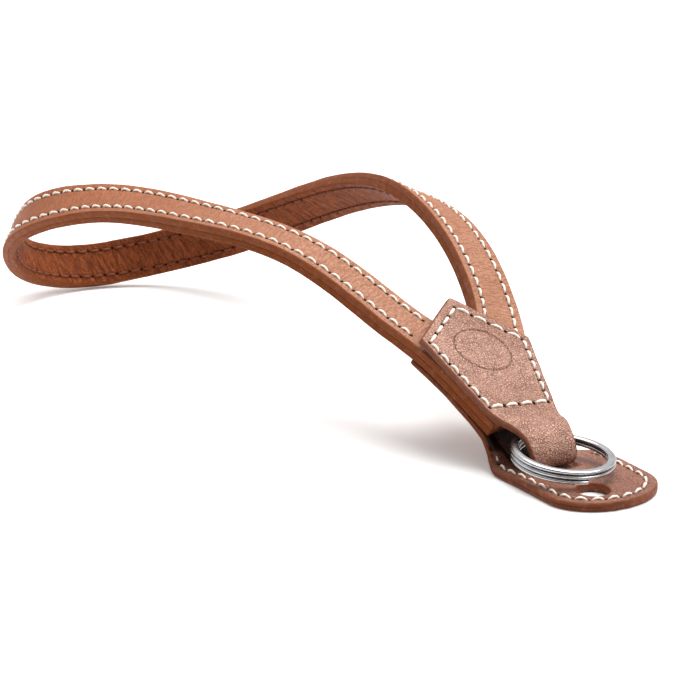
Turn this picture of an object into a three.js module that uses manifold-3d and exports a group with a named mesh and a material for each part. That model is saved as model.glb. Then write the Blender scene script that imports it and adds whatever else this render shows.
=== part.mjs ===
// A leather camera hand strap: a stitched band bent into a hand loop, a house-shaped patch over its
// two ends whose tongue folds down through a split ring, and a flap that keeps the ring off the camera.
// Millimetres, +Z up. The strap lies on the plane z = 0 with its ring end towards -Y.
// While it is built, x and y are measured from a point on the flap. The group is centred at the end.

import * as THREE from "three";
import { mergeVertices } from "three/addons/utils/BufferGeometryUtils.js";
import Module from "manifold-3d";

const wasm = await Module();
wasm.setup();

// ---- driving dimensions, mm and degrees ----

const GAP = 0.2; // left between leathers that lie on each other
const BAND = { half: 5, thick: 1.35, stepsPerRow: 10 }; // one of the band's two leathers
const PATCH = { seamHalf: 8.15, shoulderHalf: 12.5, peakHalf: 0.4, shoulderAt: 16, peakAt: 26, thick: 1.3 };
const PLACE = { across: -0.5, back: 18.5, height: 10.2, climb: 31.5, bank: 10.5 }; // the patch's lower seam
const EDGE_INSET = 0.6; // from the patch's side edge in to the band's edge
const LANE_ROWS = [-8, 0, 8, 16]; // how far up the patch the band's first and last route rows lie
const LEG = { thick: 1.0, clear: 0.2, half: 4.1 }; // the tongue's return leg, between the lining and the flap
const FLAP = { half: 10.4, tipDepth: 8, tipBack: -0.3, offset: 2.1, thick: 1.6, tail: 1.0 };
const CHANNEL = { half: 4.9, from: 8.2, to: 14.2 }; // pressed into the flap under the tongue
const LUG_HOLE = { across: -0.4, back: -1.9, radius: 2.8 };
const RING = { across: 0.1, back: 6.95, height: 3.4, meanRadius: 8.05, leftRise: 0.3, backRise: 0.65 };
const WIRE = { half: 0.72, halfThick: 0.36, bevel: 0.15, pitch: 0.8 }; // flat wire, wound upon itself
const RING_TURN = { start: -97, swept: 875, step: 7 }; // degrees round from the lower cut end to the upper one

// ---- tables ----

// The band's route between the two shoulders of the patch, from the left one round the hand to the
// right one. x, y and z are control points of the middle of the leather; roll turns its outer face.
const BAND_ROUTE = [
  { x: -10.5, y: 45.5, z: 20.5, roll: -3 },
  { x: -17.5, y: 64.5, z: 31, roll: 1 },
  { x: -28.5, y: 88, z: 32.5, roll: 10 },
  { x: -36.5, y: 111, z: 33, roll: 23 },
  { x: -48.5, y: 131, z: 27.5, roll: 46 },
  { x: -45, y: 148, z: 17, roll: 68 },
  { x: -38.5, y: 163, z: 8.6, roll: 119 },
  { x: -22.5, y: 168, z: 3.6, roll: 130 },
  { x: -5, y: 160, z: 7.5, roll: 96 },
  { x: 9.5, y: 140, z: 15.5, roll: 63 },
  { x: 18, y: 114, z: 28, roll: 45 },
  { x: 18, y: 86, z: 35, roll: 27 },
  { x: 16.5, y: 61, z: 29.5, roll: 11 },
  { x: 12, y: 43, z: 17, roll: 28 },
];

// The flap's underside from the plane it lies on up to the slope of the patch.
const FLAP_BEND = [
  { across: 0, back: 2, height: 0, left: 8.4, right: 12.6, thick: FLAP.thick, bank: 0 },
  { across: 0, back: 6, height: 0, left: 8.4, right: 12.6, thick: FLAP.thick, bank: 0 },
  { across: 0, back: 10, height: 0, left: 8.2, right: 12, thick: FLAP.thick, bank: 0 },
  { across: 0, back: 13.5, height: 0, left: 7.9, right: 10, thick: 1.2, bank: 0 },
  { across: 0, back: 15.5, height: 0.05, left: 7.5, right: 8.2, thick: FLAP.tail, bank: 1 },
  { across: -0.6, back: 17.4, height: 1, left: 6.4, right: 7.2, thick: FLAP.tail, bank: 7 },
];

// The flap's tail under the band's ends: how far up the patch, half its width, its outer face's depth
// below the lining and how much lower its left side hangs, in degrees.
const FLAP_TAIL = [
  { along: 7.5, half: 8.1, depth: 1.4, tilt: 0 },
  { along: 12, half: 9.9, depth: 0.5, tilt: 1 },
  { along: 16.1, half: 10.9, depth: 1.1, tilt: 2 },
  { along: 25.5, half: 0.4, depth: 3.3, tilt: 2 },
];

// The tongue as it folds round the ring's wire: the middle of the leather, half its width, its bank.
const FOLD = [
  { across: 0.2, back: 13.6, height: 7.8, half: 5.5, thick: 1.2, bank: 2 },
  { across: 0.1, back: 11.3, height: 6.75, half: 4.8, thick: 1.2, bank: 1 },
  { across: 0, back: 9.3, height: 4.7, half: 4.6, thick: 1.2, bank: 0 },
  { across: 0, back: 8.9, height: 2.9, half: 4.4, thick: 1.1, bank: 0 },
  { across: 0, back: 10, height: 1.7, half: 4.3, thick: LEG.thick, bank: 0 },
  { across: 0, back: 11.5, height: 1.7, half: 4.2, thick: LEG.thick, bank: 0 },
  { across: 0, back: 13, height: 1.7, half: 4.2, thick: LEG.thick, bank: 0 },
];

// ---- places under and on the patch ----

const UP = new THREE.Vector3(0, 0, 1);
const climb = THREE.MathUtils.degToRad(PLACE.climb);
const patchTurn = new THREE.Quaternion()
  .setFromAxisAngle(new THREE.Vector3(1, 0, 0), climb)
  .multiply(new THREE.Quaternion().setFromAxisAngle(new THREE.Vector3(0, 1, 0), THREE.MathUtils.degToRad(PLACE.bank)));
const patchAcross = new THREE.Vector3(1, 0, 0).applyQuaternion(patchTurn);
const patchAlong = new THREE.Vector3(0, 1, 0).applyQuaternion(patchTurn);
const patchNormal = new THREE.Vector3(0, 0, 1).applyQuaternion(patchTurn);

// Depths below the patch's outer face.
const BAND_MIDDLE = PATCH.thick + GAP + BAND.thick + GAP / 2;
const LINING_UNDER = BAND_MIDDLE + GAP / 2 + BAND.thick;
const LEG_TOP = LINING_UNDER + LEG.clear;
const TAIL_TOP = LEG_TOP + LEG.thick + GAP;

function onPatch(across, along, depth) {
  return new THREE.Vector3(PLACE.across, PLACE.back, PLACE.height)
    .addScaledVector(patchAcross, across)
    .addScaledVector(patchAlong, along)
    .addScaledVector(patchNormal, -depth);
}

// ---- curves ----

// One point of a uniform cubic B-spline whose control points are rows of numbers.
function spline(rows, t) {
  const first = Math.min(Math.floor(t), rows.length - 4);
  const f = t - first;
  const weights = [(1 - f) ** 3, 3 * f ** 3 - 6 * f ** 2 + 4, -3 * f ** 3 + 3 * f ** 2 + 3 * f + 1, f ** 3];
  const row = {};
  for (const key of Object.keys(rows[first])) {
    row[key] = weights.reduce((sum, weight, k) => sum + (weight / 6) * rows[first + k][key], 0);
  }
  return row;
}

// Evenly spaced values from start to end, both included.
function steps(start, end, count) {
  return Array.from({ length: count + 1 }, (_, k) => start + ((end - start) * k) / count);
}

// ---- leather strips ----

// A closed solid through sections. Each has a middle point, a direction across and one up, and how far
// the leather reaches to the left and right, and below and above the point. Both broad sides are cut
// along the same diagonal, so two leathers that lie on each other stay parallel where they twist.
function strip(sections) {
  const position = [];
  for (const { point, across, up, left, right, below, above } of sections) {
    for (const [side, rise] of [[-left, -below], [right, -below], [right, above], [-left, above]]) {
      position.push(...point.clone().addScaledVector(across, side).addScaledVector(up, rise).toArray());
    }
  }
  const index = [];
  const last = (sections.length - 1) * 4;
  for (let base = 0; base < last; base += 4) {
    for (let corner = 0; corner < 4; corner++) {
      const here = base + corner;
      const beside = base + ((corner + 1) % 4);
      if (corner === 2) index.push(here, beside, here + 4, beside, beside + 4, here + 4);
      else index.push(here, beside, beside + 4, here, beside + 4, here + 4);
    }
  }
  index.push(0, 2, 1, 0, 3, 2, last, last + 1, last + 2, last, last + 2, last + 3);
  return outward(closedGeometry(position, index));
}

function closedGeometry(position, index) {
  const geometry = new THREE.BufferGeometry();
  geometry.setAttribute("position", new THREE.Float32BufferAttribute(position, 3));
  geometry.setIndex(index);
  return geometry;
}

// Six times the volume that the faces enclose, which is negative when they face inwards.
function signedVolume(geometry) {
  const position = geometry.getAttribute("position");
  const index = geometry.getIndex().array;
  const [a, b, c] = [new THREE.Vector3(), new THREE.Vector3(), new THREE.Vector3()];
  let sum = 0;
  for (let k = 0; k < index.length; k += 3) {
    a.fromBufferAttribute(position, index[k]);
    b.fromBufferAttribute(position, index[k + 1]);
    c.fromBufferAttribute(position, index[k + 2]);
    sum += a.dot(b.cross(c));
  }
  return sum;
}

function outward(geometry) {
  if (signedVolume(geometry) < 0) geometry.getIndex().array.reverse();
  return geometry;
}

// ---- the band ----

// The band's first rows run up under the patch, so each end leaves its shoulder in line with its side.
function laneRows(side) {
  const lean = Math.atan2(PATCH.shoulderHalf - PATCH.seamHalf, PATCH.shoulderAt);
  const inset = (EDGE_INSET + BAND.half) / Math.cos(lean);
  return LANE_ROWS.map((along) => {
    const across = side * (PATCH.seamHalf - inset + along * Math.tan(lean));
    const place = onPatch(across, along, BAND_MIDDLE);
    return { x: place.x, y: place.y, z: place.z, roll: laneRoll(side, lean) };
  });
}

// The roll that lays the band's outer face flat under the patch.
function laneRoll(side, lean) {
  const outwards = patchAlong.clone().multiplyScalar(Math.cos(lean)).addScaledVector(patchAcross, side * Math.sin(lean));
  const tangent = outwards.multiplyScalar(-side);
  const across = tangent.clone().cross(patchNormal);
  const level = tangent.clone().cross(UP).normalize();
  const raised = level.clone().cross(tangent);
  return THREE.MathUtils.radToDeg(Math.atan2(across.dot(raised), across.dot(level)));
}

// Sections of one of the band's leathers, from bottom to top above the middle of the band.
function bandSections(bottom, top) {
  const rows = [...laneRows(-1), ...BAND_ROUTE, ...laneRows(1).reverse()];
  const spans = rows.length - 3;
  const lean = Math.atan2(PATCH.shoulderHalf - PATCH.seamHalf, PATCH.shoulderAt);
  return steps(0, spans, spans * BAND.stepsPerRow).map((t) => {
    const at = spline(rows, t);
    const before = spline(rows, Math.max(t - 0.02, 0));
    const after = spline(rows, Math.min(t + 0.02, spans));
    const tangent = new THREE.Vector3(after.x - before.x, after.y - before.y, after.z - before.z).normalize();
    const across = tangent.clone().cross(UP).normalize().applyAxisAngle(tangent, THREE.MathUtils.degToRad(-at.roll));
    const point = new THREE.Vector3(at.x, at.y, at.z);
    const underPatch = Math.min(t, spans - t) < 2;
    const fromMiddle = Math.abs(point.clone().sub(onPatch(0, 0, 0)).dot(patchAcross)) - GAP / 2;
    const inner = underPatch ? Math.min(BAND.half, fromMiddle / Math.cos(lean)) : BAND.half;
    const up = across.clone().cross(tangent);
    return { point, across, up, left: BAND.half, right: inner, below: -bottom, above: top };
  });
}

function bandFace() {
  return strip(bandSections(GAP / 2, GAP / 2 + BAND.thick));
}

function bandLining() {
  return strip(bandSections(-GAP / 2 - BAND.thick, -GAP / 2));
}

// ---- the flap ----

// A section across the strap, whose up direction follows the slope of the leather.
function levelSection(at, slope, reach) {
  const pitch = new THREE.Quaternion().setFromAxisAngle(new THREE.Vector3(1, 0, 0), slope);
  const bank = new THREE.Quaternion().setFromAxisAngle(new THREE.Vector3(0, 1, 0), THREE.MathUtils.degToRad(at.bank));
  const turn = pitch.multiply(bank);
  return {
    point: new THREE.Vector3(at.across, at.back, at.height),
    across: new THREE.Vector3(1, 0, 0).applyQuaternion(turn),
    up: new THREE.Vector3(0, 0, 1).applyQuaternion(turn),
    ...reach,
  };
}

// The flap's underside rows, carried on up the slope by rows that lie in the patch's plane.
function undersideRows() {
  const plane = [-3, 1, 5].map((along) => {
    const place = onPatch(0, along, TAIL_TOP + FLAP.tail);
    const half = 6.4 + along * 0.2;
    const width = { left: half, right: half, thick: FLAP.tail };
    return { across: place.x, back: place.y, height: place.z, ...width, bank: PLACE.bank };
  });
  return [...FLAP_BEND, ...plane];
}

// The slope of a row curve at t, in radians above level.
function slopeAt(rows, t) {
  const before = spline(rows, Math.max(t - 0.02, 0));
  const after = spline(rows, Math.min(t + 0.02, rows.length - 3));
  return Math.atan2(after.height - before.height, after.back - before.back);
}

function underside(t) {
  const rows = undersideRows();
  return { at: spline(rows, t), slope: slopeAt(rows, t) };
}

function flapTip() {
  return steps(6, 90, 12).map((degrees) => {
    const angle = THREE.MathUtils.degToRad(degrees);
    const reach = FLAP.half * Math.sin(angle);
    const at = { across: 0, back: FLAP.tipBack - FLAP.tipDepth * Math.cos(angle), height: 0, bank: 0 };
    const sides = { left: reach - FLAP.offset, right: reach + FLAP.offset };
    return levelSection(at, 0, { ...sides, below: 0, above: FLAP.thick });
  });
}

function flapBend() {
  return steps(0, 6, 36).map((t) => {
    const { at, slope } = underside(t);
    return levelSection(at, slope, { left: at.left, right: at.right, below: 0, above: at.thick });
  });
}

// The flap's tail under the band ends has the patch's outline and ends in the same peak.
function flapTail() {
  return FLAP_TAIL.map(({ along, half, depth, tilt }) => {
    const point = onPatch(0, along, LINING_UNDER + depth);
    const lean = THREE.MathUtils.degToRad(-tilt);
    const across = patchAcross.clone().applyAxisAngle(patchAlong, lean);
    const up = patchNormal.clone().applyAxisAngle(patchAlong, lean);
    return { point, across, up, left: half, right: half, below: FLAP.tail, above: 0 };
  });
}

function flap() {
  const body = strip([...flapTip(), ...flapBend(), ...flapTail()]);
  const hole = new THREE.CylinderGeometry(LUG_HOLE.radius, LUG_HOLE.radius, 6, 28);
  hole.rotateX(Math.PI / 2).translate(LUG_HOLE.across, LUG_HOLE.back, 1);
  const channel = new THREE.BoxGeometry(CHANNEL.half * 2, CHANNEL.to - CHANNEL.from, 4);
  channel.translate(0, (CHANNEL.from + CHANNEL.to) / 2, FLAP.tail + 2);
  return cut(cut(body, hole), channel);
}

// ---- the patch, its fold and the return leg ----

function patchTop() {
  const rows = [
    { along: PATCH.peakAt, half: PATCH.peakHalf },
    { along: PATCH.shoulderAt, half: PATCH.shoulderHalf },
  ];
  return rows.map(({ along, half }) => {
    const point = onPatch(0, along, PATCH.thick / 2);
    const reach = { left: half, right: half, below: PATCH.thick / 2, above: PATCH.thick / 2 };
    return { point, across: patchAcross, up: patchNormal, ...reach };
  });
}

// The fold starts in the patch's plane, comes forward over the wire, turns under and lies flat.
function fold() {
  const plane = [3, 0, -3].map((along) => {
    const place = onPatch(0, along, PATCH.thick / 2);
    const half = PATCH.seamHalf + along * 0.3;
    return { across: place.x, back: place.y, height: place.z, half, thick: PATCH.thick, bank: PLACE.bank };
  });
  const rows = [...plane, ...FOLD];
  const spans = rows.length - 3;
  return steps(0, spans, spans * 6).map((t) => {
    const at = spline(rows, t);
    const slope = slopeAt(rows, t) + Math.PI;
    const reach = { left: at.half, right: at.half, below: at.thick / 2, above: at.thick / 2 };
    return levelSection(at, slope, reach);
  });
}

// The leg lies on the flap's tail, a gap above it, and ends between it and the band's lining.
function returnLeg() {
  return steps(3.1, 5.9, 14).map((t) => {
    const { at, slope } = underside(t);
    const lift = FLAP.tail + GAP;
    const section = levelSection(at, slope, { left: LEG.half, right: LEG.half, below: -lift, above: lift + LEG.thick });
    return { ...section, across: section.across.negate(), up: section.up.negate(), below: section.above, above: section.below };
  });
}

function patchFold() {
  return strip([...patchTop(), ...fold(), ...returnLeg()]);
}

// ---- the split ring ----

// One flat wire that climbs steadily from its lower cut end to its upper one, which the fold hides.
function splitRing() {
  const rings = steps(0, RING_TURN.swept, Math.round(RING_TURN.swept / RING_TURN.step));
  const position = [];
  for (const degrees of rings) {
    const angle = THREE.MathUtils.degToRad(RING_TURN.start - degrees);
    const outwards = new THREE.Vector3(Math.cos(angle), Math.sin(angle), 0);
    const rise = (WIRE.pitch * degrees) / 360 - RING.leftRise * outwards.x + RING.backRise * outwards.y;
    for (const [side, up] of wireSection()) {
      const place = new THREE.Vector3(RING.across, RING.back, RING.height + rise + up);
      position.push(...place.addScaledVector(outwards, RING.meanRadius + side).toArray());
    }
  }
  return outward(closedGeometry(position, tubeIndex(rings.length, wireSection().length)));
}

// The wire's section as distances outwards and up from its middle.
function wireSection() {
  const { half, halfThick, bevel } = WIRE;
  const upper = [[half, halfThick - bevel], [half - bevel, halfThick], [bevel - half, halfThick], [-half, halfThick - bevel]];
  return [...upper, ...upper.map(([side, up]) => [-side, -up])];
}

// Triangles of a tube of rings of equal size, closed by a fan at each end.
function tubeIndex(count, sides) {
  const index = [];
  for (let ring = 0; ring < count - 1; ring++) {
    for (let side = 0; side < sides; side++) {
      const here = ring * sides + side;
      const beside = ring * sides + ((side + 1) % sides);
      index.push(here, beside, beside + sides, here, beside + sides, here + sides);
    }
  }
  const last = (count - 1) * sides;
  for (let side = 1; side < sides - 1; side++) {
    index.push(0, side + 1, side, last, last + side, last + side + 1);
  }
  return index;
}

// ---- cutting ----

function solid(geometry) {
  const bare = geometry.clone();
  bare.deleteAttribute("normal");
  bare.deleteAttribute("uv");
  const merged = mergeVertices(bare, 1e-4);
  const vertProperties = new Float32Array(merged.getAttribute("position").array);
  const triVerts = new Uint32Array(merged.getIndex().array);
  return new wasm.Manifold(new wasm.Mesh({ numProp: 3, vertProperties, triVerts }));
}

function cut(body, tool) {
  const mesh = solid(body).subtract(solid(tool)).getMesh();
  return closedGeometry(Array.from(mesh.vertProperties), Array.from(mesh.triVerts));
}

// ---- assembly ----

const leather = (color, roughness) => new THREE.MeshStandardMaterial({ color, roughness, metalness: 0 });
const steel = () => new THREE.MeshStandardMaterial({ color: 0xb9bcc0, roughness: 0.22, metalness: 1 });

const strap = new THREE.Group();

function add(name, geometry, material) {
  geometry.computeVertexNormals();
  const mesh = new THREE.Mesh(geometry, material);
  mesh.name = name;
  strap.add(mesh);
}

add("band_face", bandFace(), leather(0xc08355, 0.5));
add("band_lining", bandLining(), leather(0x8a4a26, 0.6));
add("patch_fold", patchFold(), leather(0xc48f72, 0.5));
add("flap", flap(), leather(0xa9674a, 0.55));
add("split_ring", splitRing(), steel());

// The group's origin is the middle of the strap's outline, on the plane that it lies on.
const middle = new THREE.Box3().setFromObject(strap).getCenter(new THREE.Vector3());
strap.position.set(-middle.x, -middle.y, 0);
strap.updateMatrixWorld(true);

export default strap;
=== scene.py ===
import logging
import math
from dataclasses import dataclass, field
from enum import Enum
from typing import Callable

import bpy
import numpy as np
from bpy.types import Material, Node, NodeSocket, NodeTree, Object
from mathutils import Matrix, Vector


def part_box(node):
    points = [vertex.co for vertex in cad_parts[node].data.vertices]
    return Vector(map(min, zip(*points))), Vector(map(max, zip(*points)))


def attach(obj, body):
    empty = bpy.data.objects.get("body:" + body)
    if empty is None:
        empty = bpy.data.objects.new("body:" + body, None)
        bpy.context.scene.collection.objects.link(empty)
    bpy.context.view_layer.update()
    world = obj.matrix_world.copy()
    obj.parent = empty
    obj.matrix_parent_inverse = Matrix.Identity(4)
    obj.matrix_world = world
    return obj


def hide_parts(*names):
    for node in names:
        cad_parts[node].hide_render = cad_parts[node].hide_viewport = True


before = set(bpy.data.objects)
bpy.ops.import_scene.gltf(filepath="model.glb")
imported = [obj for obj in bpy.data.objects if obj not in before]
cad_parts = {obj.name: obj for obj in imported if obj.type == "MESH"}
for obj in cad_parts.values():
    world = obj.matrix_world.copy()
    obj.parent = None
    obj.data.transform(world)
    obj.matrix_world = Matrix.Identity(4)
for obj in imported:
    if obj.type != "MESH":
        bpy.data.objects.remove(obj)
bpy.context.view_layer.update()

LOG = logging.getLogger("hand_strap")
MM = 0.001
UV_SPAN = 100.0  # millimetres of leather to one unit of its texture space
SPLINE_REACH = 0.02  # steps of a spline on either side of a place, over which its direction is taken
UP = np.array([0.0, 0.0, 1.0])
Array = np.ndarray
Colour = tuple[float, float, float]


class Body(Enum):
    """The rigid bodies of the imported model."""

    STRAP = "strap"
    RING = "ring"


class Slot(Enum):
    """The record's material slots."""

    FACE = "face_leather"
    LINING = "lining_leather"
    PATCH = "patch_leather"
    FLAP = "flap_leather"
    RING = "ring_steel"


class Rim(Enum):
    """How the distance to a leather's outline is found: straight across it, or to its shaped outline."""

    PARALLEL = "parallel"
    SHAPED = "shaped"


# ---- small mathematics ----


def smoothstep(low: float, high: float, value: Array) -> Array:
    """Eases from 0 at low to 1 at high."""
    f = np.clip((value - low) / (high - low), 0.0, 1.0)
    return f * f * (3.0 - 2.0 * f)


def unit(vectors: Array) -> Array:
    """The vectors at length one."""
    return vectors / np.linalg.norm(vectors, axis=-1, keepdims=True)


def bell(distance: Array, width: float, power: int = 2) -> Array:
    """Falls from 1 to almost nothing two widths away."""
    return np.exp(-((distance / width) ** power))


def lattice_noise(x: Array, y: Array, seed: int) -> Array:
    """Smooth noise with one value to each whole step.

    Args:
        x: Places one way, in steps.
        y: Places the other way.
        seed: Picks another pattern.

    Returns:
        Values from -1 to 1.
    """
    points = np.stack([x, y], -1)
    cell = np.floor(points).astype(np.int64)
    ease = smoothstep(0.0, 1.0, points - cell)
    total = np.zeros(x.shape)
    for corner in ((0, 0), (0, 1), (1, 0), (1, 1)):
        mixed = ((cell + corner) * (73856093, 19349663)).sum(-1) + seed * 2654435761
        mixed = ((mixed ^ (mixed >> 13)) * 1274126177) & 0x7FFFFFFF
        mixed = ((mixed ^ (mixed >> 11)) * 69069) & 0xFFFFFF
        weight = np.where(np.array(corner) == 1, ease, 1.0 - ease).prod(-1)
        total += weight * (mixed / float(0xFFFFFF) * 2.0 - 1.0)
    return total


def spline(rows: Array, t: Array) -> Array:
    """A uniform cubic B-spline through rows of numbers.

    Args:
        rows: Control rows, one to each step of t.
        t: Places along the curve, from 0 to three less than the number of rows.

    Returns:
        One row of numbers for each t.
    """
    first = np.clip(np.floor(t).astype(int), 0, len(rows) - 4)
    f = (t - first)[:, None]
    weights = [(1 - f) ** 3, 3 * f**3 - 6 * f**2 + 4, -3 * f**3 + 3 * f**2 + 3 * f + 1, f**3]
    return sum(weight / 6.0 * rows[first + k] for k, weight in enumerate(weights))


def heading(rows: Array, t: Array) -> Array:
    """The direction of a spline whose rows start with across, back and height."""
    ahead, behind = np.minimum(t + SPLINE_REACH, len(rows) - 3.0), np.maximum(t - SPLINE_REACH, 0.0)
    return unit((spline(rows, ahead) - spline(rows, behind))[:, :3])


def between(wanted: Array, places: Array, values: Array) -> Array:
    """Reads what is known at some places, at others between them.

    Args:
        wanted: Where to read.
        places: Where the values are known, in rising order.
        values: A number or a row of numbers for each of those.

    Returns:
        A number or a row for each wanted place.
    """
    if values.ndim == 1:
        return np.interp(wanted, places, values)
    return np.stack([np.interp(wanted, places, column) for column in values.T], axis=1)


def lengths(points: Array) -> Array:
    """The length of a path from its start to each of its points."""
    return np.concatenate([[0.0], np.cumsum(np.linalg.norm(np.diff(points, axis=0), axis=1))])


def distance_to_path(x: Array, y: Array, path: Array) -> Array:
    """The shortest distance from flat places to a path.

    Args:
        x: Places one way.
        y: Places the other way.
        path: The corners of the path, joined by straight pieces.

    Returns:
        A distance for each place.
    """
    points = np.stack([x, y], -1).reshape(-1, 2)
    best = np.full(len(points), np.inf)
    for start, run in zip(path[:-1], np.diff(path, axis=0)):
        square = float(run @ run)
        if square > 1e-12:
            f = np.clip(((points - start) @ run) / square, 0.0, 1.0)
            best = np.minimum(best, np.linalg.norm(points - start - f[:, None] * run, axis=1))
    return best.reshape(x.shape)


def hole_distance(x: Array, y: Array, holes: Array) -> Array:
    """The distance from flat places to the nearest of some holes."""
    return np.linalg.norm(np.stack([x, y], -1)[..., None, :] - holes, axis=-1).min(axis=-1)


def tilted_axes(slope: Array, bank: Array) -> tuple[Array, Array, Array]:
    """Axes of a leather that climbs and then banks about its own length.

    Args:
        slope: The climb, in radians.
        bank: The bank, in radians.

    Returns:
        The directions across the leather, along it and out of it.
    """
    right = np.stack([np.cos(bank), np.sin(bank) * np.sin(slope), -np.sin(bank) * np.cos(slope)], -1)
    along = np.stack([0.0 * slope, np.cos(slope), np.sin(slope)], -1)
    out = np.stack([np.sin(bank), -np.sin(slope) * np.cos(bank), np.cos(slope) * np.cos(bank)], -1)
    return right, along, out


def banked_spline(rows: Array, t: Array, turned: float = 0.0) -> tuple[Array, Array, Array]:
    """Rows of a spline that end with a bank in degrees, and how the leather faces there.

    Args:
        rows: Control rows that start with across, back and height.
        t: Places along the curve.
        turned: A turn over, in radians.

    Returns:
        The rows, the directions across the leather and the directions out of it.
    """
    at, way = spline(rows, t), heading(rows, t)
    slope = np.arctan2(way[:, 2], way[:, 1]) + turned
    across, _, out = tilted_axes(slope, np.radians(at[:, -1]))
    return at, across, out


# ---- where things are ----


@dataclass(frozen=True)
class StrapFrame:
    """The strap's own measures, in millimetres from a point on the flap, in the row's frame."""

    ring_across: float = 0.1
    flap_front: float = 8.256

    def row(self, points: Array) -> Array:
        """Turns the strap's millimetres into the row's metres.

        Args:
            points: Places on the strap, in millimetres.

        Returns:
            The same places in the row's frame, in metres.
        """
        ring_low, ring_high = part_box("split_ring")
        flap_low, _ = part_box("flap")
        across = (ring_low.x + ring_high.x) / 2 - self.ring_across * MM
        return points * MM + np.array([across, flap_low.y + self.flap_front * MM, 0.0])


@dataclass(frozen=True)
class PatchPlane:
    """The sloping plane of the patch's outer face, with its lower seam's middle at its origin."""

    across: float = -0.5
    back: float = 18.5
    height: float = 10.2
    climb: float = 31.5
    bank: float = 10.5
    seam_half: float = 8.15
    shoulder_half: float = 12.5
    shoulder_at: float = 16.0
    peak_at: float = 26.0
    peak_half: float = 0.4

    @property
    def origin(self) -> Array:
        """The lower seam's middle."""
        return np.array([self.across, self.back, self.height])

    @property
    def lean(self) -> float:
        """The angle between the patch's long sides and its middle line, in radians."""
        return math.atan2(self.shoulder_half - self.seam_half, self.shoulder_at)

    @property
    def axes(self) -> tuple[Array, Array, Array]:
        """The directions across the patch, up along it and out of it."""
        return tilted_axes(math.radians(self.climb), math.radians(self.bank))

    def place(self, across: Array | float, along: Array | float, depth: float) -> Array:
        """A place on or under the patch.

        Args:
            across: Millimetres to the right of the middle line.
            along: Millimetres up from the lower seam.
            depth: Millimetres below the outer face.

        Returns:
            The place in the strap's millimetres.
        """
        parts = zip((across, along, -depth), self.axes)
        return self.origin + sum(np.asarray(size)[..., None] * axis for size, axis in parts)

    def flat(self, points: Array) -> Array:
        """The across, along and height coordinates of points, measured from the plane."""
        return np.stack([(points - self.origin) @ axis for axis in self.axes], axis=-1)

    def half_at(self, along: Array) -> Array:
        """Half the width of the house-shaped outline.

        Args:
            along: Millimetres up from the lower seam.

        Returns:
            The half width at each of those.
        """
        side = self.seam_half + along * (self.shoulder_half - self.seam_half) / self.shoulder_at
        rise = (self.shoulder_half - self.peak_half) / (self.peak_at - self.shoulder_at)
        return np.minimum(side, self.shoulder_half - (along - self.shoulder_at) * rise)


# ---- leathers ----


@dataclass
class Sections:
    """Cross sections of one leather, in the strap's millimetres.

    left and right are the reach from the point to either side, low and high the offsets of its under
    and outer face, and along the length of leather from its start. A value given once holds for all.
    """

    point: Array
    across: Array
    up: Array
    left: Array | float
    right: Array | float
    low: Array | float
    high: Array | float
    along: Array = field(init=False)

    def __post_init__(self) -> None:
        """Gives every section its values, and measures the length along their points."""
        shape = self.point.shape
        self.across, self.up = np.broadcast_to(self.across, shape), np.broadcast_to(self.up, shape)
        for name in ("left", "right", "low", "high"):
            setattr(self, name, np.broadcast_to(getattr(self, name), shape[:1]))
        self.along = lengths(self.point)

    def parts(self) -> tuple[Array, ...]:
        """What a section is made of, in order."""
        return self.point, self.across, self.up, self.left, self.right, self.low, self.high

    @staticmethod
    def joined(*runs: "Sections") -> "Sections":
        """One run of sections made of several, in order."""
        return Sections(*(np.concatenate(parts) for parts in zip(*(run.parts() for run in runs))))

    def refined(self, step: float, fine_until: float = 0.0, fine_step: float = 0.1) -> "Sections":
        """The same leather with its sections evenly spaced.

        Args:
            step: The length from one section to the next.
            fine_until: Up to this length the sections lie closer together.
            fine_step: The length from one of those to the next.

        Returns:
            The new sections.
        """
        rest = self.along[-1] - fine_until
        fine = np.linspace(0.0, fine_until, int(fine_until / fine_step), endpoint=False)
        wanted = np.concatenate([fine, np.linspace(fine_until, self.along[-1], int(rest / step) + 1)])
        point, across, up, *reach = (between(wanted, self.along, part) for part in self.parts())
        return Sections(point, unit(across), unit(up), *reach)


@dataclass(frozen=True)
class Face:
    """Places on one face of a leather: across it, along it, and how far inside its outline."""

    x: Array
    along: Array
    inset: Array


Relief = Callable[[Face], Array]


def no_relief(face: Face) -> Array:
    """Leaves a face as it is."""
    return np.zeros_like(face.x)


@dataclass(frozen=True)
class Pull:
    """How stitches draw a leather down: in a groove, in a dimple round each hole, and in the hole."""

    groove: float
    groove_width: float
    dimple: float
    dimple_width: float
    pit: float
    pit_width: float

    def dip(self, line: Array, hole: Array) -> Array:
        """The dip at distances from the row and from its nearest hole."""
        drawn = self.groove * bell(line, self.groove_width) + self.dimple * bell(hole, self.dimple_width)
        return drawn + self.pit * bell(hole, self.pit_width, 4)


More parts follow.
